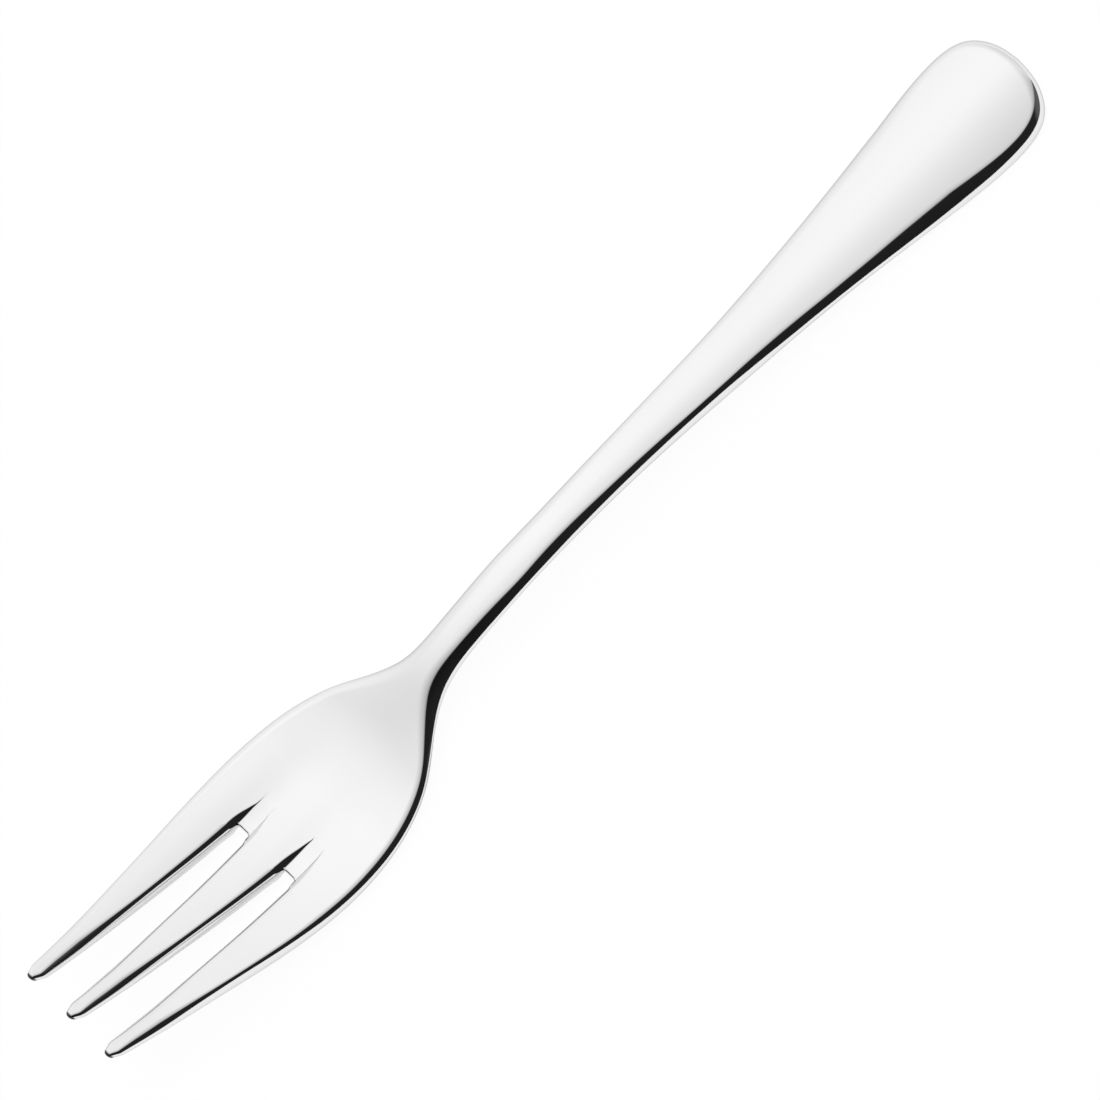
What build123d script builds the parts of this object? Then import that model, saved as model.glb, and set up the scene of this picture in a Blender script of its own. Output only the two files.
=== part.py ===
"""A one-piece pastry fork: three tines, a shallow palm, a slim neck and an arched handle.

The fork is modelled the way it is made: a blank is cut to the plan outline with its slots, pressed to
its side view, broken at its edges, and coined where the slots run out into the palm. Lengths are in
millimetres. X runs from the tine tips to the handle end, Z is up, and the origin is on the table, under
the middle of the fork.
"""

from build123d import *
import os

# Stations along the fork, measured from the tine tips
overall_length = 150.0
tine_station = 14.0
slot_length = 27.9
palm_station = 35.5
shoulder_station = 46.0
neck_station = 54.0
shank_station = 62.0
crest_station = 74.0
handle_station = 100.0
flare_station = 122.0
cap_station = 136.0
bulb_station = 141.5
end_station = 147.6

# Widths of the plan outline at those stations
tine_span = 18.75
palm_width = 22.2
shoulder_width = 16.25
neck_width = 6.7
shank_width = 5.2
handle_width = 6.7
flare_width = 10.6
cap_width = 14.5
bulb_width = 15.5
end_width = 12.8

# Heights of the back above the table, the slope of the tines, and the flat under the handle's end
tip_height = 10.7
tip_slope = 0.48
tine_height = 4.95
slot_root_height = 0.85
shoulder_height = 0.8
neck_height = 3.15
shank_height = 5.25
crest_height = 5.85
handle_height = 3.5
flare_height = 1.2
rest_flat_depth = 0.1

# Thickness of the steel, from the back up to the top
tip_thickness = 1.35
tine_thickness = 1.8
slot_root_thickness = 2.0
palm_thickness = 2.0
shoulder_thickness = 2.15
neck_thickness = 2.65
shank_thickness = 2.2
handle_thickness = 2.35
flare_thickness = 2.55
bulb_thickness = 2.9

# Tines, their blunt points, and the slots between them, which fade into the palm as valleys
tine_tip_width = 2.15
tine_tip_pitch = 6.52
point_length = 1.25
point_width = 0.75
slot_root_width = 1.8
slot_root_pitch = 7.76
slot_corner_radius = 0.5
valley_width = 1.9
valley_length = 4.2

# Edges left by the polishing wheel
top_edge_radius = 0.4
under_edge_radius = 0.2

# How far the side view runs past the ends of the blank
overrun = 1.0

tip_span = 2 * tine_tip_pitch + tine_tip_width
head_slope = (tine_span - tip_span) / 2 / (tine_station - point_length)
slot_root_top = slot_root_height + slot_root_thickness
palm_fall = (slot_root_top - palm_thickness) / (palm_station - slot_length)


def x_at(station):
    """The part's X of a distance from the tine tips."""
    return station - overall_length / 2


with BuildPart() as fork:
    # The blank: half of its outline, from the handle's end round to the middle tine, and its mirror image
    with BuildSketch(Plane.XY.offset(-overrun)):
        with BuildLine():
            Spline(
                (x_at(overall_length), 0),
                (x_at(end_station), end_width / 2),
                (x_at(bulb_station), bulb_width / 2),
                (x_at(cap_station), cap_width / 2),
                (x_at(flare_station), flare_width / 2),
                (x_at(handle_station), handle_width / 2),
                (x_at(crest_station), shank_width / 2),
                (x_at(shank_station), shank_width / 2),
                (x_at(neck_station), neck_width / 2),
                (x_at(shoulder_station), shoulder_width / 2),
                (x_at(palm_station), palm_width / 2),
                (x_at(tine_station), tine_span / 2),
                (x_at(point_length), tip_span / 2),
                tangents=((0, 1), (-1, -head_slope)),
                tangent_scalars=(1, 1),
            )
            slot_line = Polyline(
                (x_at(point_length), tip_span / 2),
                (x_at(0), tine_tip_pitch + point_width / 2),
                (x_at(0), tine_tip_pitch - point_width / 2),
                (x_at(point_length), tine_tip_pitch - tine_tip_width / 2),
                (x_at(slot_length), (slot_root_pitch + slot_root_width) / 2),
                (x_at(slot_length), (slot_root_pitch - slot_root_width) / 2),
                (x_at(point_length), tine_tip_width / 2),
                (x_at(0), point_width / 2),
                (x_at(0), 0),
            )
            fillet(slot_line.vertices().group_by(Axis.X)[-1], radius=slot_corner_radius)
            mirror(about=Plane.XZ)
        make_face()
    extrude(amount=2 * tip_height)

    # Its side view: the line of the back, and the top above it
    with BuildSketch(Plane.XZ.offset(-palm_width)):
        with BuildLine():
            back_line = Spline(
                (x_at(-overrun), tip_height + tip_slope * overrun),
                (x_at(tine_station), tine_height),
                (x_at(slot_length), slot_root_height),
                (x_at(palm_station), 0),
                (x_at(shoulder_station), shoulder_height),
                (x_at(neck_station), neck_height),
                (x_at(shank_station), shank_height),
                (x_at(crest_station), crest_height),
                (x_at(handle_station), handle_height),
                (x_at(flare_station), flare_height),
                (x_at(overall_length + overrun), -rest_flat_depth),
                tangents=((1, -tip_slope), (1, 0)),
                tangent_scalars=(1, 1),
            )
            top_line = Spline(
                (x_at(-overrun), tip_height + tip_slope * overrun + tip_thickness),
                (x_at(tine_station), tine_height + tine_thickness),
                (x_at(slot_length), slot_root_top),
                (x_at(palm_station), palm_thickness),
                (x_at(shoulder_station), shoulder_height + shoulder_thickness),
                (x_at(neck_station), neck_height + neck_thickness),
                (x_at(shank_station), shank_height + shank_thickness),
                (x_at(crest_station), crest_height + shank_thickness),
                (x_at(handle_station), handle_height + handle_thickness),
                (x_at(flare_station), flare_height + flare_thickness),
                (x_at(overall_length + overrun), bulb_thickness - rest_flat_depth),
                tangents=((1, -tip_slope), (1, 0)),
                tangent_scalars=(1, 1),
            )
            Line(back_line @ 0, top_line @ 0)
            Line(back_line @ 1, top_line @ 1)
        make_face()
    extrude(amount=2 * palm_width, mode=Mode.INTERSECT)
    top = fork.faces().sort_by(lambda face: face.normal_at().Z)[-1]
    fillet(top.edges(), radius=top_edge_radius)
    back = fork.faces().sort_by(lambda face: face.normal_at().Z)[0]
    fillet(back.edges(), radius=under_edge_radius)
    split(bisect_by=Plane.XY, keep=Keep.TOP)

    # The valleys, coined from the slots into the palm
    mouth = slot_length - slot_corner_radius
    for valley_y in (-slot_root_pitch / 2, slot_root_pitch / 2):
        start = Vector(x_at(mouth), valley_y, slot_root_top + palm_fall * slot_corner_radius)
        with Locations(Plane(origin=start, z_dir=(1, 0, -palm_fall))):
            Cone(
                bottom_radius=valley_width / 2,
                top_radius=0,
                height=valley_length + slot_corner_radius,
                align=(Align.CENTER, Align.CENTER, Align.MIN),
                mode=Mode.SUBTRACT,
            )

os.makedirs("parts", exist_ok=True)
fork.part.label = "fork"
export_step(fork.part, "parts/fork.step")
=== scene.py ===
# %% [markdown]
# # A polished pastry fork
#
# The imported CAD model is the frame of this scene. It gives the fork's length, its outline and its side
# view. Here the fork gets the soft forms that polishing leaves on it, a mirror finish, and a white studio
# that shows in that finish.

# %% The frame
import math

import bpy
import numpy as np
from mathutils import Matrix, Vector, geometry
from mathutils.bvhtree import BVHTree
from mathutils.kdtree import KDTree


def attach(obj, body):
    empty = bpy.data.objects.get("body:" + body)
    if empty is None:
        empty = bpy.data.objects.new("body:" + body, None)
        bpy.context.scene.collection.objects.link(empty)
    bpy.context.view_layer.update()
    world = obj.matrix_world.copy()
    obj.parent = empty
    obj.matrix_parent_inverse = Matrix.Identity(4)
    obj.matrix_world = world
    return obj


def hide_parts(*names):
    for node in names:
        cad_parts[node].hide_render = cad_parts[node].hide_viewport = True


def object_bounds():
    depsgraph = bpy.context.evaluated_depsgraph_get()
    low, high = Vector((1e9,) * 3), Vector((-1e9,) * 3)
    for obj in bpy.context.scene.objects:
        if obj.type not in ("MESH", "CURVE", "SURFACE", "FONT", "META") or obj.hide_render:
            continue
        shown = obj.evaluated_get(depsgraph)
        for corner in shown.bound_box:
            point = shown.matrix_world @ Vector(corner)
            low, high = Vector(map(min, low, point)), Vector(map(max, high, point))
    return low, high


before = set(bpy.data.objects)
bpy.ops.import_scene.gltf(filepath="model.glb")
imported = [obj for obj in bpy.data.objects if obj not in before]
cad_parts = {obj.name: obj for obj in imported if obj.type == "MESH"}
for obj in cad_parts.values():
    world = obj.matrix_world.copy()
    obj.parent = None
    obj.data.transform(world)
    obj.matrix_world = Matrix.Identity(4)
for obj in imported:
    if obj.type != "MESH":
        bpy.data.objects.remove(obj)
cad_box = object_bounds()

MM = 0.001


def in_mm(box):
    """The two corners of a box in millimetres, rounded for printing."""
    return [[round(value / MM, 2) for value in corner] for corner in box]


print("CAD box in mm:", in_mm(cad_box))

# %% [markdown]
# ## The camera
#
# The fork is seen from above its near side, lying slantwise across a square picture. A long lens keeps its
# sides from converging. A camera could be aimed with angles or with a constraint. This one is built from
# three directions, the level right, the way up and the way back to the lens, because turning the first two
# about the third then rolls the picture and changes nothing else.

# %% The camera
VIEW_TILT = math.radians(22.05)
VIEW_ROLL = math.radians(46.67)
PIXELS_PER_MM = 8.938
PICTURE_SIDE = 1100
ORIGIN_PIXEL = (561.3, 551.0)
LENS_DISTANCE = 1000

level_right = Vector((1, 0, 0))
view_back = Vector((0, -math.sin(VIEW_TILT), math.cos(VIEW_TILT)))
level_up = view_back.cross(level_right)
picture_right = level_right * math.cos(VIEW_ROLL) - level_up * math.sin(VIEW_ROLL)
picture_up = level_right * math.sin(VIEW_ROLL) + level_up * math.cos(VIEW_ROLL)

camera_data = bpy.data.cameras.new("camera")
camera_data.lens = camera_data.sensor_width * PIXELS_PER_MM * LENS_DISTANCE / PICTURE_SIDE
camera = bpy.data.objects.new("camera", camera_data)
bpy.context.collection.objects.link(camera)
aim = (picture_up * (ORIGIN_PIXEL[1] - PICTURE_SIDE / 2)
       - picture_right * (ORIGIN_PIXEL[0] - PICTURE_SIDE / 2)) / PIXELS_PER_MM
place = (aim + view_back * LENS_DISTANCE) * MM
turn = Matrix((picture_right, picture_up, view_back)).transposed().to_4x4()
camera.matrix_world = Matrix.Translation(place) @ turn
bpy.context.scene.camera = camera
print("lens", round(camera_data.lens, 1), "mm at", [round(value, 3) for value in place])

# %% [markdown]
# ## Measuring the CAD fork
#
# The CAD mesh could be shown as it is, but a mirror finish shows every facet. So the fork is measured and
# drawn again. Rays are cast at the CAD solid, as a caliper would touch it: down on the top, up on the back,
# in from the side on the outline. A cubic spline through a few of these readings is smoother than the
# facets that the rays hit. In all that follows, s is the distance from the tine tips and y the distance
# from the middle of the fork, both in millimetres.

# %% A caliper and a smooth curve
cad_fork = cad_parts["fork"]
solid = BVHTree.FromPolygons([v.co for v in cad_fork.data.vertices],
                             [p.vertices[:] for p in cad_fork.data.polygons])
tip_x, end_x = cad_box[0][0] / MM, cad_box[1][0] / MM
length = end_x - tip_x


def touch(start, direction):
    """Where a ray from a place outside meets the CAD fork, in millimetres."""
    hit = solid.ray_cast(Vector(start) * MM, Vector(direction))[0]
    return hit / MM


def smooth_curve(places, values):
    """A natural cubic spline through readings, as a function that also takes arrays."""
    places, values = np.array(places, float), np.array(values, float)
    gaps, rises = np.diff(places), np.diff(values) / np.diff(places)
    system = np.diag(np.r_[1, 2 * (gaps[:-1] + gaps[1:]), 1])
    system[range(1, len(gaps)), range(len(gaps) - 1)] = gaps[:-1]
    system[range(1, len(gaps)), range(2, len(gaps) + 1)] = gaps[1:]
    bends = np.linalg.solve(system, np.r_[0, 6 * np.diff(rises), 0])

    def value_at(place):
        place = np.asarray(place, float)
        span = np.clip(np.searchsorted(places, place) - 1, 0, len(gaps) - 1)
        ahead, behind = places[span + 1] - place, place - places[span]
        gap = gaps[span]
        return ((bends[span] * ahead ** 3 + bends[span + 1] * behind ** 3) / (6 * gap)
                + (values[span] / gap - bends[span] * gap / 6) * ahead
                + (values[span + 1] / gap - bends[span + 1] * gap / 6) * behind)

    return value_at


print("the CAD fork is", round(length, 2), "mm long")

# %% Readings along the middle
FAR_OFF = 40
STATIONS = [1.5, 6, 11, 16, 21, 26, 30, 34, 38, 42, 46, 49, 52, 55, 58, 62, 68, 76, 86, 98, 110, 122, 132,
            140, 148]
top_readings = [touch((tip_x + s, 0, FAR_OFF), (0, 0, -1)).z for s in STATIONS]
back_readings = [touch((tip_x + s, 0, -FAR_OFF), (0, 0, 1)).z for s in STATIONS]
middle_top = smooth_curve(STATIONS, top_readings)
middle_back = smooth_curve(STATIONS, back_readings)


def mid_height(s):
    """Half way up the steel, along the middle."""
    return float(middle_top(s) + middle_back(s)) / 2


print("highest top", round(max(top_readings), 2), "mm, lowest back", round(min(back_readings), 2), "mm")

# %% Readings round the outline
SIDE_STATIONS = [2.5, 8, 14, 20, 26, 31, 36, 40, 43, 46, 49, 51.5, 54, 57, 61, 66, 74, 84, 96, 108, 118,
                 127, 135]
END_CENTRE = 139
END_ANGLES = (80, 65, 50, 38, 26, 13, 0)

side_points = [(s, touch((tip_x + s, FAR_OFF, mid_height(s)), (0, -1, 0)).y) for s in SIDE_STATIONS]
end_points = []
for angle in END_ANGLES:
    ray = Vector((-math.cos(math.radians(angle)), -math.sin(math.radians(angle)), 0))
    start = Vector((tip_x + END_CENTRE, 0, mid_height(END_CENTRE))) - ray * FAR_OFF
    hit = touch(start, ray)
    end_points.append((hit.x - tip_x, max(hit.y, 0)))
print("widest", round(2 * max(y for _, y in side_points), 2), "mm")

# %% Readings in the slots
TINE_STATIONS = (5, 25)
INTO_SLOT = 0.5


def slot_sides(s):
    """The two sides of the slot on the +Y side: the middle tine's side, then the outer tine's."""
    height = mid_height(s)
    inner = touch((tip_x + s, 0, height), (0, 1, 0)).y
    outer = touch((tip_x + s, inner + INTO_SLOT, height), (0, 1, 0)).y
    return inner, outer


near_sides, far_sides = slot_sides(TINE_STATIONS[0]), slot_sides(TINE_STATIONS[1])
low_in_slot = float(middle_back(TINE_STATIONS[1]))
slot_root = touch((tip_x + TINE_STATIONS[1], sum(far_sides) / 2, low_in_slot), (1, 0, 0)).x - tip_x


def slot_side(s, side):
    """A side of the slot, straight up to the root. Side 0 is the middle tine's, side 1 the outer's."""
    share = (np.minimum(s, slot_root) - TINE_STATIONS[0]) / (TINE_STATIONS[1] - TINE_STATIONS[0])
    return near_sides[side] + (far_sides[side] - near_sides[side]) * share


root_sides = [float(slot_side(slot_root, side)) for side in (0, 1)]
print("slot root at", round(slot_root, 2), "with its sides at", [round(side, 2) for side in root_sides])

# %% [markdown]
# ## The form across the fork
#
# The CAD solid is straight across. The real fork is pressed hollow at the tines and the palm, so that its
# outer tines stand a little higher, and crowned along the neck and the handle. Each tine also has a faint
# ridge along its middle, and polishing has thinned the shank. A lattice or a sculpting brush could bend the
# mesh like this. Here the forms are heights that are added to the measured middle line, because a formula
# has an exact slope, and a mirror needs one.

# %% Hollow, crown and ridges
HEEL, SHOULDER, NECK, SHANK, GRIP, BULB = 38, 46, 54, 62, 95, 141.5
DISH_RADIUS, SHANK_CROWN_RADIUS, END_CROWN_RADIUS = 140, 9.5, 25
FLUTE_HEIGHT = 0.06


def ease(s, start, end):
    """0 before the start and 1 past the end, with no corner between."""
    share = np.clip((np.asarray(s, float) - start) / (end - start), 0, 1)
    return share * share * (3 - 2 * share)


def dish(s):
    """How hollow the head is, as one over the radius across it."""
    return (1 - ease(s, HEEL, NECK)) / DISH_RADIUS


def crown(s):
    """How round the top of the neck and the handle is, as one over the radius across it."""
    at_shank, at_end = 1 / SHANK_CROWN_RADIUS, 1 / END_CROWN_RADIUS
    rounding = at_shank + (at_end - at_shank) * ease(s, SHANK, BULB)
    return rounding * ease(s, SHOULDER, SHANK)


def flute(s, y):
    """How far each tine is rounded up along its middle. The three ridges fade out in the palm."""
    pitch = slot_side(s, 0) + slot_side(s, 1)
    return FLUTE_HEIGHT * np.cos(2 * math.pi * y / pitch) * (1 - ease(s, slot_root, SHOULDER))


print("tine tips stand", round(float(dish(0)) * side_points[0][1] ** 2 / 2, 2), "mm higher at the outside")

# %% [markdown]
# ## The valleys behind the slots
#
# Where a slot ends, the press leaves a short valley in the palm: a flat floor between two walls that begin
# a little before the root and run out to a point. The valley at the near side is the longer one. A Boolean
# could cut it, but would leave hard edges and broken shading. As one more height it has a soft bend at the
# top of each wall, a soft foot at its bottom, and no seam.

# %% Valleys
VALLEY_WALL, VALLEY_SLOPE = 0.92, 0.66
VALLEY_LENGTH, NEAR_VALLEY_LENGTH = 3.6, 5.0
VALLEY_LEAD, FULL_WALL_LEAD = 4.0, 0.9
VALLEY_TAPER = 1.6
VALLEY_BEND, MOST_BEND_SHARE = 0.22, 0.4
VALLEY_FOOT, MOST_FOOT_SHARE = 0.12, 0.3
TINY = 1e-6


def valley_wall(s, y):
    """How wide each wall of a valley is. Negative y is the near side."""
    reach = np.where(y < 0, NEAR_VALLEY_LENGTH, VALLEY_LENGTH)
    past_root = np.clip((s - slot_root) / reach, 0, 1)
    begun = ease(s, slot_root - VALLEY_LEAD, slot_root - FULL_WALL_LEAD)
    return VALLEY_WALL * begun * (1 - past_root ** VALLEY_TAPER)


def valley(s, y):
    """How far the top sinks in the valley that runs out behind each slot."""
    wall = valley_wall(s, y)
    bend = np.minimum(VALLEY_BEND, MOST_BEND_SHARE * wall) + TINY
    foot = np.minimum(VALLEY_FOOT, MOST_FOOT_SHARE * wall) + TINY
    floor_middle = (slot_side(s, 1) + slot_side(s, 0)) / 2
    floor_half = (slot_side(s, 1) - slot_side(s, 0)) / 2
    from_floor = np.clip(np.abs(np.abs(y) - floor_middle) - floor_half, 0, None)
    down_wall = np.clip(wall - from_floor, 0, None)
    depth = np.where(down_wall < bend, down_wall ** 2 / (2 * bend), down_wall - bend / 2)
    return VALLEY_SLOPE * (depth - np.clip(foot - from_floor, 0, None) ** 2 / (2 * foot))


valley_middle = sum(root_sides) / 2
print("valleys", round(float(valley(slot_root, valley_middle)), 2), "mm deep at the root")

# %% Heights of the top and the back
SHANK_TRIM = 0.28


def plain_top(s, y):
    """The height of the polished top, without the valleys and before its edges are rounded."""
    s, y = np.asarray(s, float), np.asarray(y, float)
    trim = SHANK_TRIM * (ease(s, SHOULDER, SHANK) - ease(s, SHANK, GRIP))
    return middle_top(s) - trim + (dish(s) - crown(s)) * y ** 2 / 2 + flute(s, y)


def top_height(s, y):
    """The height of the polished top with its valleys."""
    return plain_top(s, y) - valley(s, y)


def back_height(s, y):
    """The height of the back, before its edges are rounded."""
    return middle_back(s) + dish(s) * np.asarray(y, float) ** 2 / 2


print("shank", round(float(top_height(SHANK, 0) - back_height(SHANK, 0)), 2), "mm thick")

# %% [markdown]
# ## The outline
#
# Half of the outline runs from the handle's end, along the outer tine, round its blunt point, down the
# slot, across the root and up to the point of the middle tine. The other half is its mirror image. A curve
# object could hold it, but the edge needs to know which way is outward at each point, so it is a plain list
# of points. Corners are rounded with small arcs, and the points lie so close that the edge has no facets.

# %% Paths with even steps and rounded corners
CURVE_POINTS, ARC_POINTS = 4000, 13


def even_steps(path, step):
    """Points at even steps on a path."""
    walked = np.r_[0, np.cumsum(np.linalg.norm(np.diff(path, axis=0), axis=1))]
    stops = np.linspace(0, walked[-1], max(2, round(walked[-1] / step) + 1))
    return np.stack([np.interp(stops, walked, path[:, axis]) for axis in (0, 1)], axis=1)


def along(points, step):
    """Points at even steps on a smooth curve through the given ones."""
    points = np.array(points, float)
    walked = np.r_[0, np.cumsum(np.linalg.norm(np.diff(points, axis=0), axis=1))]
    curves = [smooth_curve(walked, points[:, axis]) for axis in (0, 1)]
    fine = np.linspace(0, walked[-1], CURVE_POINTS)
    return even_steps(np.stack([curve(fine) for curve in curves], axis=1), step)


def rounded(points, radii):
    """A chain of straight lines whose corners are turned into arcs."""
    points = [np.array(point, float) for point in points]
    path = [points[0]]
    for before, corner, after, radius in zip(points, points[1:], points[2:], radii):
        way_in = (corner - before) / np.linalg.norm(corner - before)
        way_out = (after - corner) / np.linalg.norm(after - corner)
        turn_angle = math.acos(np.clip(way_in @ way_out, -1, 1))
        trim = radius * math.tan(turn_angle / 2)
        first, last = corner - way_in * trim, corner + way_out * trim
        inward = way_out - way_in
        centre = corner + inward / np.linalg.norm(inward) * radius / math.cos(turn_angle / 2)
        for share in np.linspace(0, 1, ARC_POINTS):
            spoke = (first - centre) * (1 - share) + (last - centre) * share
            path.append(centre + spoke * radius / np.linalg.norm(spoke))
    path.append(points[-1])
    return np.array(path)


STEP = 0.3
long_side = along((side_points + end_points)[::-1], STEP)
print(len(long_side), "points from the handle's end to the outer tine")

# %% The outline, as a closed loop of points
POINT_LENGTH, POINT_WIDTH = 1.25, 0.9
POINT_CORNER, ROOT_CORNER, CHEEK_RADIUS = 0.65, 0.3, 1.5

outer_edge = smooth_curve([s for s, _ in side_points], [y for _, y in side_points])
cheek = float(outer_edge(POINT_LENGTH))
point_middle = (cheek + slot_side(POINT_LENGTH, 1)) / 2
chain = [
    side_points[0],
    (POINT_LENGTH, cheek),
    (0, point_middle + POINT_WIDTH / 2),
    (0, point_middle - POINT_WIDTH / 2),
    (POINT_LENGTH, slot_side(POINT_LENGTH, 1)),
    (slot_root, root_sides[1]),
    (slot_root, root_sides[0]),
    (POINT_LENGTH, slot_side(POINT_LENGTH, 0)),
    (0, POINT_WIDTH / 2),
    (0, 0),
]
corner_radii = [CHEEK_RADIUS, POINT_CORNER, POINT_CORNER, CHEEK_RADIUS, ROOT_CORNER, ROOT_CORNER,
                CHEEK_RADIUS, POINT_CORNER]
tines_side = even_steps(rounded(chain, corner_radii), STEP / 2)
half = np.vstack([long_side, tines_side[1:]])
outline = np.vstack([half, half[-2:0:-1] * (1, -1)])
edge_s, edge_y = outline[:, 0], np.abs(outline[:, 1])

ahead, behind = np.roll(outline, -1, axis=0), np.roll(outline, 1, axis=0)
run = (ahead - behind) / np.linalg.norm(ahead - behind, axis=1)[:, None]
outward = np.stack([run[:, 1], -run[:, 0]], axis=1)
outward *= np.sign(outward[0, 0])
print(len(outline), "points round the fork")

# %% [markdown]
# ## The rounded edge
#
# A stamped edge is first square. Polishing wheels round its upper corner most, its side less and its lower
# corner least. A Bevel modifier would give the same round everywhere, so the edge is drawn as three arcs:
# from the top to the shoulder, from the shoulder to the upright side, and from there round to the back. The
# first two have radii that were read off the width of the dark and light bands that they reflect, small at
# the roots of the slots, where no wheel reaches. The last one takes what is left of the steel's thickness.

# %% Radii of the edge along the fork: station, top arc, side arc
EDGE_RADII = np.array([
    (0, 0.5, 0.6), (2, 0.85, 0.9), (5, 1.35, 1.0), (7, 1.3, 1.2), (10, 1.02, 1.7), (14, 0.75, 2.0),
    (17, 0.72, 2.2), (20, 0.82, 2.1), (24, 0.95, 1.8), (28, 1.2, 1.4), (30, 1.15, 1.35), (37, 1.4, 0.75),
    (44, 1.5, 0.35), (47, 1.45, 0.3), (49, 1.8, 0.3), (50.5, 2.15, 0.3), (51.6, 2.15, 0.3), (53, 2.7, 0.4),
    (55, 2.95, 0.4), (58, 2.3, 0.4), (61, 2.05, 0.3), (64, 1.95, 0.35), (69.5, 1.45, 0.35),
    (74, 1.75, 0.35), (78, 1.65, 0.6), (83, 1.38, 0.75), (88, 1.2, 1.05), (96, 0.97, 1.4), (101, 1.0, 1.6),
    (105, 1.3, 1.25), (110, 1.55, 0.6), (116, 1.5, 0.4), (122, 1.7, 0.4), (128, 2.15, 0.4),
    (132, 2.25, 0.65), (137, 2.35, 1.4), (142, 1.4, 1.5), (150, 1.4, 1.2),
])
RADIUS_BLEND, BLEND_READINGS = 1.5, 9
ROOT_TOP_RADIUS, ROOT_SIDE_RADIUS = 0.35, 0.5
ROOT_BLEND_START, ROOT_BLEND_END = 1.3, 0.15
SLACK = 0.1


def edge_radius(s, column):
    """A radius from the table, averaged over a short stretch of the fork so that it has no corner."""
    nearby = s + np.linspace(-RADIUS_BLEND, RADIUS_BLEND, BLEND_READINGS)[:, None]
    return np.interp(nearby, EDGE_RADII[:, 0], EDGE_RADII[:, column]).mean(axis=0)


top_arc, side_arc = edge_radius(edge_s, 1), edge_radius(edge_s, 2)
in_slot = (edge_s < slot_root + SLACK) & (edge_y < slot_side(edge_s, 1) + SLACK)
near_root = ease(edge_s, slot_root - ROOT_BLEND_START, slot_root - ROOT_BLEND_END) * in_slot
top_arc += (ROOT_TOP_RADIUS - top_arc) * near_root
side_arc += (ROOT_SIDE_RADIUS - side_arc) * near_root
print("top arc from", top_arc.min().round(2), "to", top_arc.max().round(2), "mm before it is fitted")

# %% Arcs that fit into the width and the thickness of the steel
SHOULDER_ANGLE = math.radians(57)
LEAST_UNDER_RADIUS, MOST_UNDER_RADIUS = 0.25, 1.05
MOST_ROOM_SHARE = 0.85
shoulder_sin, shoulder_cos = math.sin(SHOULDER_ANGLE), math.cos(SHOULDER_ANGLE)

# The arcs have the room of half a tine, of half the palm or the handle, or of the whole round end
on_middle_tine = edge_y < slot_side(edge_s, 0) + SLACK
outer_tine_half = (outer_edge(edge_s) - slot_side(edge_s, 1)) / 2
tine_half = np.where(on_middle_tine, slot_side(edge_s, 0), outer_tine_half)
tine_half = np.minimum(tine_half, POINT_CORNER + edge_s * (tine_half - POINT_CORNER) / POINT_LENGTH)
room = np.where(edge_s > BULB, edge_y.max(), np.maximum(edge_y, ROOT_CORNER))
room = np.where(edge_s < slot_root - ROOT_CORNER, tine_half, room)
inset = side_arc * (1 - shoulder_sin) + top_arc * shoulder_sin
across_fit = np.minimum(1, MOST_ROOM_SHARE * room / inset)
top_arc, side_arc = top_arc * across_fit, side_arc * across_fit

# They leave enough of the thickness for the arc below them
at_shoulder = outline - outward * (side_arc * (1 - shoulder_sin))[:, None]
steel = top_height(*at_shoulder.T) - back_height(*at_shoulder.T)
upper = top_arc * (1 - shoulder_cos) + side_arc * shoulder_cos
down_fit = np.minimum(1, (steel - LEAST_UNDER_RADIUS) / upper)
top_arc, side_arc = top_arc * down_fit, side_arc * down_fit
left_below = steel - upper * down_fit
under_arc = np.minimum(left_below, np.minimum(MOST_ROOM_SHARE * room, MOST_UNDER_RADIUS))
side_wall = left_below - under_arc
print("top arc from", top_arc.min().round(2), "to", top_arc.max().round(2), "mm, under arc from",
      under_arc.min().round(2), "to", under_arc.max().round(2), "mm")

# %% [markdown]
# ## Rings and filled faces
#
# The edge is a set of rings. Each is the outline drawn inward, at the height that the arcs give it there,
# or at the valley's height where the valley lies deeper. Inside the first and the last ring the faces are
# filled with triangles, which are smaller in the valleys. A subdivision surface would need far fewer
# points, but would only come near these heights. With the mesh made point by point, the exact direction of
# the surface is known everywhere and is given to the mesh as its normals: that keeps the reflections smooth.

# %% Where a ring lies
def ring_inset(angle):
    """How far inside the outline the ring lies whose points face this far from straight up."""
    if angle <= SHOULDER_ANGLE:
        return side_arc * (1 - shoulder_sin) + top_arc * (shoulder_sin - math.sin(angle))
    arc = side_arc if angle <= math.pi / 2 else under_arc
    return arc * (1 - math.sin(angle))


def drop_from_top(angle):
    """How far the arcs take the ring below the top."""
    if angle <= SHOULDER_ANGLE:
        return top_arc * (1 - math.cos(angle))
    return top_arc * (1 - shoulder_cos) + side_arc * (shoulder_cos - math.cos(angle))


def rise_from_back(angle):
    """How far the ring stands above the back."""
    if angle <= math.pi / 2:
        return under_arc + side_wall + side_arc * math.cos(angle)
    return under_arc + under_arc * math.cos(angle)


print("the first ring lies up to", ring_inset(0).max().round(2), "mm inside the outline")

# %% Rings of the rounded edge
RING_ANGLES = np.radians([0, 7, 14, 21, 28, 35, 42, 49, 57, 65, 73, 81, 90, 100, 112, 125, 140, 160, 180])
SLOPE_STEP = 0.01
MEETING = 0.06
at_root_end = np.clip(-outward[:, 0], 0, 1) * in_slot * (edge_s > slot_root - 2 * ROOT_CORNER)


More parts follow.
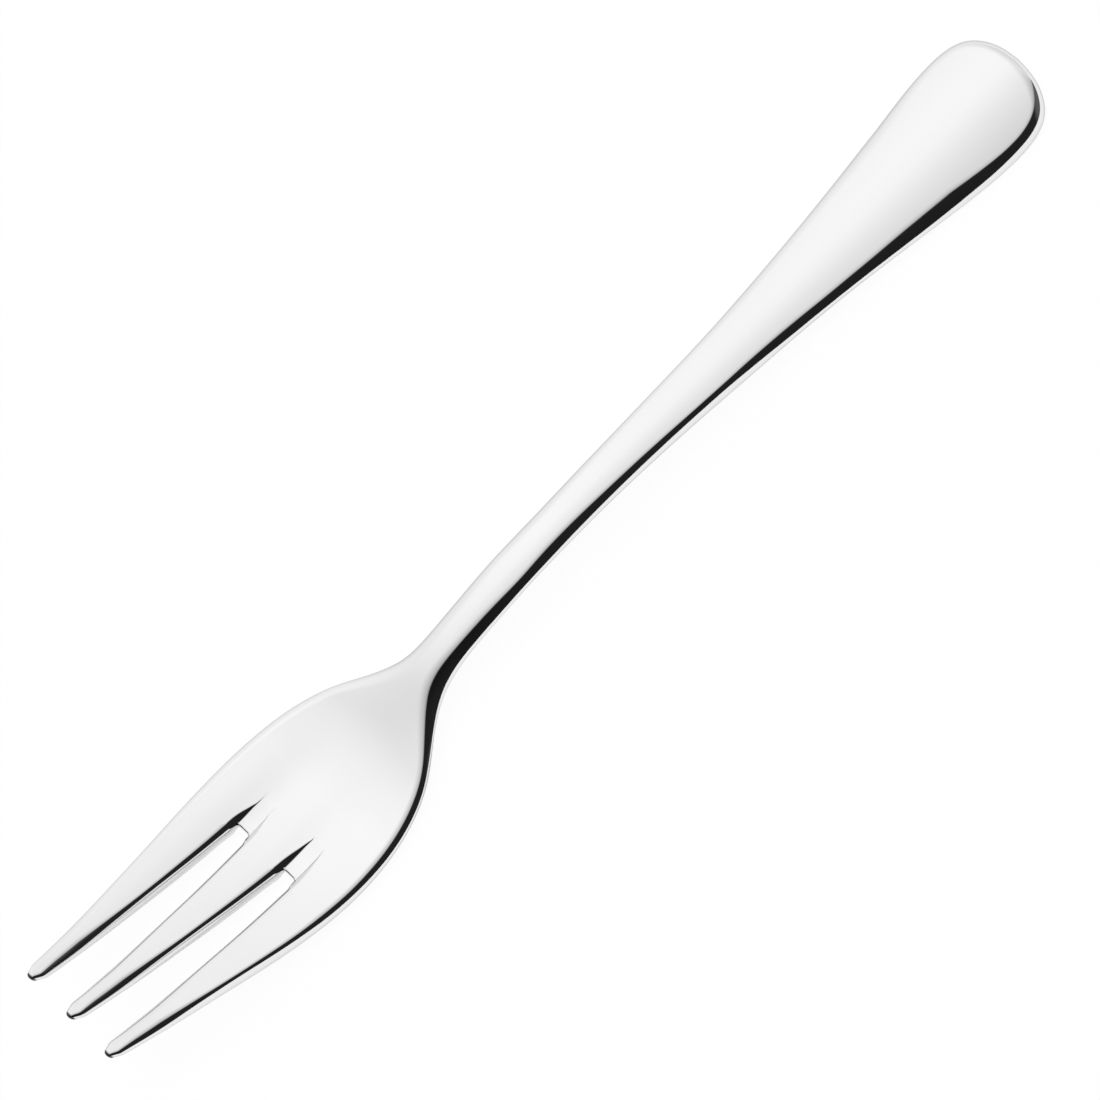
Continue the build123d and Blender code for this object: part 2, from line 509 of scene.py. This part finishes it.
def slopes(height, places):
    """How steeply a face rises along the fork and across it."""
    s, y = places.T
    rise_s = (height(s + SLOPE_STEP, y) - height(s - SLOPE_STEP, y)) / (2 * SLOPE_STEP)
    rise_y = (height(s, y + SLOPE_STEP) - height(s, y - SLOPE_STEP)) / (2 * SLOPE_STEP)
    return np.stack([rise_s, rise_y], axis=1)


def edge_ring(angle):
    """The ring of points that face this far from straight up, and the directions that they face."""
    places = outline - outward * ring_inset(angle)[:, None]

    # Where the valley is deeper than the arc, the ring follows the valley. At the root's end it follows both
    dropped, sunk = drop_from_top(angle), valley(*places.T)
    deeper = ease(sunk - dropped, -MEETING, MEETING)
    in_valley, on_arc = np.maximum(deeper, at_root_end), np.maximum(1 - deeper, at_root_end)

    # From the shoulder down to the upright side, the height comes less from the top and more from the back
    from_top = plain_top(*places.T) - on_arc * dropped - in_valley * sunk
    from_back = back_height(*places.T) + rise_from_back(angle)
    to_back = np.clip((angle - SHOULDER_ANGLE) / (math.pi / 2 - SHOULDER_ANGLE), 0, 1)
    heights = (1 - to_back) * from_top + to_back * from_back

    plain_slope = slopes(plain_top, places)
    top_slope = plain_slope + in_valley[:, None] * (slopes(top_height, places) - plain_slope)
    slope = (1 - to_back) * top_slope + to_back * slopes(back_height, places)
    lean = np.where(angle <= SHOULDER_ANGLE, on_arc, 1) * math.sin(angle)
    upright = np.full(len(places), math.cos(angle))
    facing = np.column_stack([outward * lean[:, None] - slope * math.cos(angle), upright])
    return np.column_stack([places, heights]), facing


rings = [edge_ring(angle) for angle in RING_ANGLES]
print(len(rings), "rings of", len(outline), "points")

# %% Strips between the rings
points, normals, faces = [], [], []


def add_points(places, directions):
    """Adds points and the directions they face, and gives the number of the first."""
    points.extend(places)
    normals.extend(directions)
    return len(points) - len(places)


starts = [add_points(*ring) for ring in rings]
count = len(outline)
for upper_start, lower_start in zip(starts, starts[1:]):
    for k in range(count):
        after = (k + 1) % count
        faces.append([upper_start + k, lower_start + k, lower_start + after, upper_start + after])
print(len(faces), "faces on the rounded edge")

# %% Filling a loop with triangles
INSIDE_LOOP = 1


def inside(places, loop):
    """Which places lie inside a closed loop."""
    crossings = np.zeros(len(places), int)
    for start, end in zip(loop, np.roll(loop, -1, axis=0)):
        spans = (start[1] > places[:, 1]) != (end[1] > places[:, 1])
        rise = end[1] - start[1] or 1
        meets = start[0] + (places[:, 1] - start[1]) * (end[0] - start[0]) / rise
        crossings += spans & (places[:, 0] < meets)
    return crossings % 2 == 1


def fill(loop, places, clearance):
    """The given places that lie well inside a loop, and the triangles between them and the loop."""
    rim = KDTree(len(loop))
    for number, corner in enumerate(loop):
        rim.insert((*corner, 0), number)
    rim.balance()
    places = places[inside(places, loop)]
    places = places[[rim.find((*place, 0))[2] > clearance for place in places]]
    corners = [Vector(place) for place in np.vstack([loop, places])]
    made = geometry.delaunay_2d_cdt(corners, [], [list(range(len(loop)))], INSIDE_LOOP, TINY)
    triangles, sources = made[2], [origins[0] for origins in made[3]]
    return places, [[sources[corner] for corner in triangle] for triangle in triangles]


in_the_slot = np.array([(slot_root / 2, valley_middle)])
print("steel in the slot:", bool(inside(in_the_slot, outline)[0]))

# %% Places on the top and the back
TOP_STEP, BACK_STEP, VALLEY_STEP = 0.4, 0.8, 0.1
VALLEY_REACH = 2.2
SHORT_OF_END = 0.4
# Rows of places along a valley: millimetres from the middle of its floor, and shares of its walls' width
FLOOR_ROWS = np.linspace(-0.7, 0.7, 7)
WALL_ROWS = np.r_[np.linspace(0, 0.3, 7), np.linspace(0.4, 0.7, 4), np.linspace(0.75, 1.05, 7)]
half_span = max(outline[:, 1])


def grid(step):
    """Places at even steps all over the fork."""
    columns, rows = np.meshgrid(np.arange(0, length, step), np.arange(-half_span, half_span, step))
    return np.column_stack([columns.ravel(), rows.ravel()])


valley_places = []
for side, reach in ((1, VALLEY_LENGTH), (-1, NEAR_VALLEY_LENGTH)):
    for s in np.arange(slot_root - VALLEY_LEAD, slot_root + reach - SHORT_OF_END, VALLEY_STEP):
        rows = WALL_ROWS * valley_wall(s, side)
        across = np.r_[slot_side(s, 0) - rows, valley_middle + FLOOR_ROWS, slot_side(s, 1) + rows]
        valley_places += [(s, side * y) for y in across]
top_grid = grid(TOP_STEP)
by_valley = ((np.abs(np.abs(top_grid[:, 1]) - valley_middle) < VALLEY_REACH)
             & (np.abs(top_grid[:, 0] - slot_root) < NEAR_VALLEY_LENGTH))
top_places = np.vstack([top_grid[~by_valley], valley_places])
back_places = grid(BACK_STEP)
print(len(top_places), "places for the top,", len(back_places), "for the back")

# %% The filled faces
for ring, start, height, places, clearance, up in (
        (rings[0], starts[0], top_height, top_places, VALLEY_STEP / 2, 1),
        (rings[-1], starts[-1], back_height, back_places, BACK_STEP / 2, -1)):
    places, triangles = fill(ring[0][:, :2], places, clearance)
    facing = np.column_stack([-slopes(height, places), np.ones(len(places))]) * up
    inner_start = add_points(np.column_stack([places, height(*places.T)]), facing)
    for triangle in triangles:
        faces.append([start + c if c < count else inner_start + c - count for c in triangle][::up])
    print(len(triangles), "triangles")

# %% The fork
points = (np.array(points) + (tip_x, 0, 0)) * MM
normals = np.array(normals)
normals /= np.linalg.norm(normals, axis=1)[:, None]
fork_mesh = bpy.data.meshes.new("polished_fork")
fork_mesh.from_pydata(points.tolist(), [], faces)
fork_mesh.shade_smooth()
fork_mesh.normals_split_custom_set_from_vertices(normals.tolist())
fork = bpy.data.objects.new("polished_fork", fork_mesh)
bpy.context.collection.objects.link(fork)
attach(fork, "root")
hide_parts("fork")
print(len(fork_mesh.vertices), "points,", len(fork_mesh.polygons), "faces")

# %% [markdown]
# ## Polished stainless steel
#
# Table forks are 18/10 stainless steel, pressed and then polished on soft wheels with finer and finer
# paste until they are mirrors. What the eye gets is the room, white above and dark at the near side, and a
# thin grey line where the steel is seen edge on. The blunt ends of the tines are painted dark grey as
# painted shade, and are made rough.
# Close up there are faint lines along the fork from the last wheel, and a thin haze where it was handled.
# An image could carry these marks. Noise in the roughness and in a very low bump needs none, and has the
# same size all over the fork. The real lines are finer than a pixel, so they are drawn wide enough to show.

# %% Colours and nodes
def linear(hex_colour):
    """An sRGB hex colour as linear RGBA."""
    parts = [int(hex_colour[k:k + 2], 16) / 255 for k in (1, 3, 5)]
    return [p / 12.92 if p <= 0.04045 else ((p + 0.055) / 1.055) ** 2.4 for p in parts] + [1]


def node(tree, kind, inputs=None, **settings):
    """Adds a node, makes its settings, and gives its inputs a value or another node's output."""
    made = tree.nodes.new(kind)
    for name, value in settings.items():
        setattr(made, name, value)
    for name, source in (inputs or {}).items():
        if isinstance(source, bpy.types.NodeSocket):
            tree.links.new(source, made.inputs[name])
        else:
            made.inputs[name].default_value = source
    return made


# The third colour is painted shade: the dark grey given to the ends of the tines
STEEL_COLOUR, STEEL_EDGE_TINT, TIP_SHADE_COLOUR = "#EDEDED", "#CACACA", "#555452"
print("steel", [round(value, 2) for value in linear(STEEL_COLOUR)[:3]])

# %% The steel: marks of the wheel, and haze
LINE_WIDTH, LINE_LENGTH, LINE_DEPTH, LINE_STRENGTH = 0.3, 14, 0.01, 0.08
HAZE_SIZE = 9
LEAST_MARKED, MOST_MARKED = 0.7, 1.35
LEAST_ROUGHNESS, MOST_ROUGHNESS = 0.035, 0.085

# Mirror-polished stainless steel: the eye gets the room, a shade dimmer and with no colour of its own,
# except the tine ends, which are painted dark grey as painted shade
steel_finish = bpy.data.materials.new("polished_stainless_steel")
steel_finish.use_nodes = True
tree = steel_finish.node_tree
where = node(tree, "ShaderNodeTexCoord").outputs["Object"]
per_line = node(tree, "ShaderNodeMapping", {
    "Vector": where, "Scale": [1 / (size * MM) for size in (LINE_LENGTH, LINE_WIDTH, LINE_WIDTH)]})
lines = node(tree, "ShaderNodeTexNoise", {
    "Vector": per_line.outputs[0], "Scale": 1, "Detail": 3, "Roughness": 0.6})
haze = node(tree, "ShaderNodeTexNoise", {
    "Vector": where, "Scale": 1 / (HAZE_SIZE * MM), "Detail": 4, "Roughness": 0.55})
marks = node(tree, "ShaderNodeMath", {0: lines.outputs["Fac"], 1: haze.outputs["Fac"]}, operation="ADD")
rough = node(tree, "ShaderNodeMapRange", {
    "Value": marks.outputs[0], "From Min": LEAST_MARKED, "From Max": MOST_MARKED,
    "To Min": LEAST_ROUGHNESS, "To Max": MOST_ROUGHNESS})
relief = node(tree, "ShaderNodeBump", {
    "Height": lines.outputs["Fac"], "Strength": LINE_STRENGTH, "Distance": LINE_DEPTH * MM})
print("roughness from", LEAST_ROUGHNESS, "to", MOST_ROUGHNESS)

# %% The steel: painted shade on the tine ends, and the shader
# Where the painted shade on the tine ends fades out, in mm from the tips, and how rough the ends are
TIP_SHADE_START, TIP_SHADE_END = 0.32, 0.48
TIP_ROUGHNESS = 0.35

along_fork = node(tree, "ShaderNodeSeparateXYZ", {0: where}).outputs["X"]
# Painted shade: 0 at the tips, where the colour is dark grey and rough, and 1 past them, where it is
# polished steel
polished = node(tree, "ShaderNodeMapRange", {
    "Value": along_fork, "From Min": (tip_x + TIP_SHADE_START) * MM, "From Max": (tip_x + TIP_SHADE_END) * MM})
colour = node(tree, "ShaderNodeMix", {
    0: polished.outputs[0], 6: linear(TIP_SHADE_COLOUR), 7: linear(STEEL_COLOUR)}, data_type="RGBA")
finish = node(tree, "ShaderNodeMix", {0: polished.outputs[0], 2: TIP_ROUGHNESS, 3: rough.outputs[0]})
shader = tree.nodes["Principled BSDF"]
shader.inputs["Metallic"].default_value = 1
shader.inputs["Specular Tint"].default_value = linear(STEEL_EDGE_TINT)
tree.links.new(colour.outputs[2], shader.inputs["Base Color"])
tree.links.new(finish.outputs[0], shader.inputs["Roughness"])
tree.links.new(relief.outputs[0], shader.inputs["Normal"])
fork_mesh.materials.append(steel_finish)
print("dull for the first", TIP_SHADE_END, "mm of the tines")

# %% [markdown]
# ## The studio
#
# A mirror shows only what stands round it. The floor is white paper and catches a soft shadow. The camera
# and the mirror see it with a glow of its own, so that it is white without more light on the fork.
# Overhead is a wide white ceiling that comes down to the floor at the far side. On the near side it stops
# at a straight edge, and the room below it is dark: that gives the fork its crisp dark line. Large panels
# could stand round the fork to do this. A world drawn with colour ramps has no distance, so its edge is as
# straight in the tines as in the handle. One wide lamp overhead makes the shadow. It is kept out of the
# mirror, which shows the ceiling there.

# %% Floor
FLOOR_SIDE = 6
FLOOR_GAP = 0.05
SEEN_GLOW, MIRRORED_GLOW = 0.95, 0.55

reach = FLOOR_SIDE / 2
floor_mesh = bpy.data.meshes.new("floor")
floor_mesh.from_pydata([(-reach, -reach, 0), (reach, -reach, 0), (reach, reach, 0), (-reach, reach, 0)], [],
                       [(0, 1, 2, 3)])
floor = bpy.data.objects.new("floor", floor_mesh)
bpy.context.collection.objects.link(floor)
floor.location.z = -FLOOR_GAP * MM

# Matt white paper: an even white that darkens softly under the fork
paper = bpy.data.materials.new("white_paper")
paper.use_nodes = True
tree = paper.node_tree
tree.nodes.clear()
rays = node(tree, "ShaderNodeLightPath").outputs
seen = node(tree, "ShaderNodeMath", {0: rays["Is Camera Ray"], 1: SEEN_GLOW}, operation="MULTIPLY")
mirrored = node(tree, "ShaderNodeMath", {0: rays["Is Glossy Ray"], 1: MIRRORED_GLOW}, operation="MULTIPLY")
share = node(tree, "ShaderNodeMath", {0: seen.outputs[0], 1: mirrored.outputs[0]}, operation="MAXIMUM")
matt = node(tree, "ShaderNodeBsdfDiffuse", {"Color": linear("#FAFAFA")})
glow = node(tree, "ShaderNodeEmission", {"Color": linear("#FFFFFF"), "Strength": 1})
mix = node(tree, "ShaderNodeMixShader", {0: share.outputs[0], 1: matt.outputs[0], 2: glow.outputs[0]})
node(tree, "ShaderNodeOutputMaterial", {"Surface": mix.outputs[0]})
floor_mesh.materials.append(paper)
print("floor", FLOOR_SIDE, "m wide")

# %% Greys of the room
# The ceiling's share of the light, by how far a direction leans to the far side for each step that it rises
CEILING = ((-1, "#000000"), (-0.63, "#000000"), (-0.57, "#696969"), (-0.51, "#A1A1A1"), (-0.4, "#BBBBBB"),
           (-0.27, "#CACACA"), (-0.09, "#D8D8D8"), (0.04, "#E2E2E2"), (0.16, "#EAEAEA"), (0.27, "#F2F2F2"),
           (0.4, "#F9F9F9"), (0.6, "#FBFBFB"), (0.9, "#F9F9F9"), (1.5, "#F4F4F4"), (3, "#F0F0F0"))
# The light of the ceiling and of the dark side, by how far a direction leans to the handle
LIGHT = ((-1, "#202020"), (-0.8, "#303030"), (-0.7, "#DCDCDC"), (-0.5, "#EBEBEB"), (-0.35, "#F3F3F3"),
         (-0.2, "#FAFAFA"), (0, "#FFFFFF"), (0.25, "#FCFCFC"), (0.5, "#F5F5F5"), (0.7, "#EAEAEA"),
         (1, "#DFDFDF"))
DARK = ((-1, "#080808"), (-0.5, "#0A0A0A"), (0, "#1E1E1E"), (0.45, "#222222"), (0.6, "#525252"),
        (1, "#5A5A5A"))
print("greys of the room:", len(CEILING), "over the ceiling,", len(LIGHT) + len(DARK), "along it")

# %% Room
LEAST_RISE = 0.05
SKY_STRENGTH = 1.15

world = bpy.data.worlds.new("studio")
bpy.context.scene.world = world
world.use_nodes = True
tree = world.node_tree
tree.nodes.clear()
way = node(tree, "ShaderNodeSeparateXYZ", {0: node(tree, "ShaderNodeTexCoord").outputs["Generated"]}).outputs
rise = node(tree, "ShaderNodeMath", {0: way["Z"], 1: LEAST_RISE}, operation="MAXIMUM")
leaning = node(tree, "ShaderNodeMath", {0: way["Y"], 1: rise.outputs[0]}, operation="DIVIDE")
shades = []
for direction, greys in ((leaning.outputs[0], CEILING), (way["X"], LIGHT), (way["X"], DARK)):
    least, most = greys[0][0], greys[-1][0]
    spread = node(tree, "ShaderNodeMapRange", {"Value": direction, "From Min": least, "From Max": most})
    ramp = node(tree, "ShaderNodeValToRGB", {"Fac": spread.outputs[0]})
    stops = ramp.color_ramp.elements
    for value, grey in greys[1:-1]:
        stops.new((value - least) / (most - least)).color = linear(grey)
    stops[0].color, stops[-1].color = linear(greys[0][1]), linear(greys[-1][1])
    shades.append(ramp.outputs["Color"])
ceiling, light, dark = shades
room_light = node(tree, "ShaderNodeMix", {0: ceiling, 6: dark, 7: light}, data_type="RGBA")
sky = node(tree, "ShaderNodeBackground", {"Color": room_light.outputs[2], "Strength": SKY_STRENGTH})
node(tree, "ShaderNodeOutputWorld", {"Surface": sky.outputs[0]})
print("room lit by", world.name, "at", SKY_STRENGTH)

# %% Lamp
LAMP_ENERGY = 1.4
LAMP_SPREAD = math.radians(40)

lamp_data = bpy.data.lights.new("top_lamp", "SUN")
lamp_data.energy = LAMP_ENERGY
lamp_data.angle = LAMP_SPREAD
lamp = bpy.data.objects.new("top_lamp", lamp_data)
bpy.context.collection.objects.link(lamp)
lamp.visible_glossy = False
print("lamp of", LAMP_ENERGY, "straight above")

# %% Colours shown as they are written
view = bpy.context.scene.view_settings
view.view_transform = "Standard"
print("view transform:", view.view_transform)

# %% Last update of the scene
bpy.context.view_layer.update()
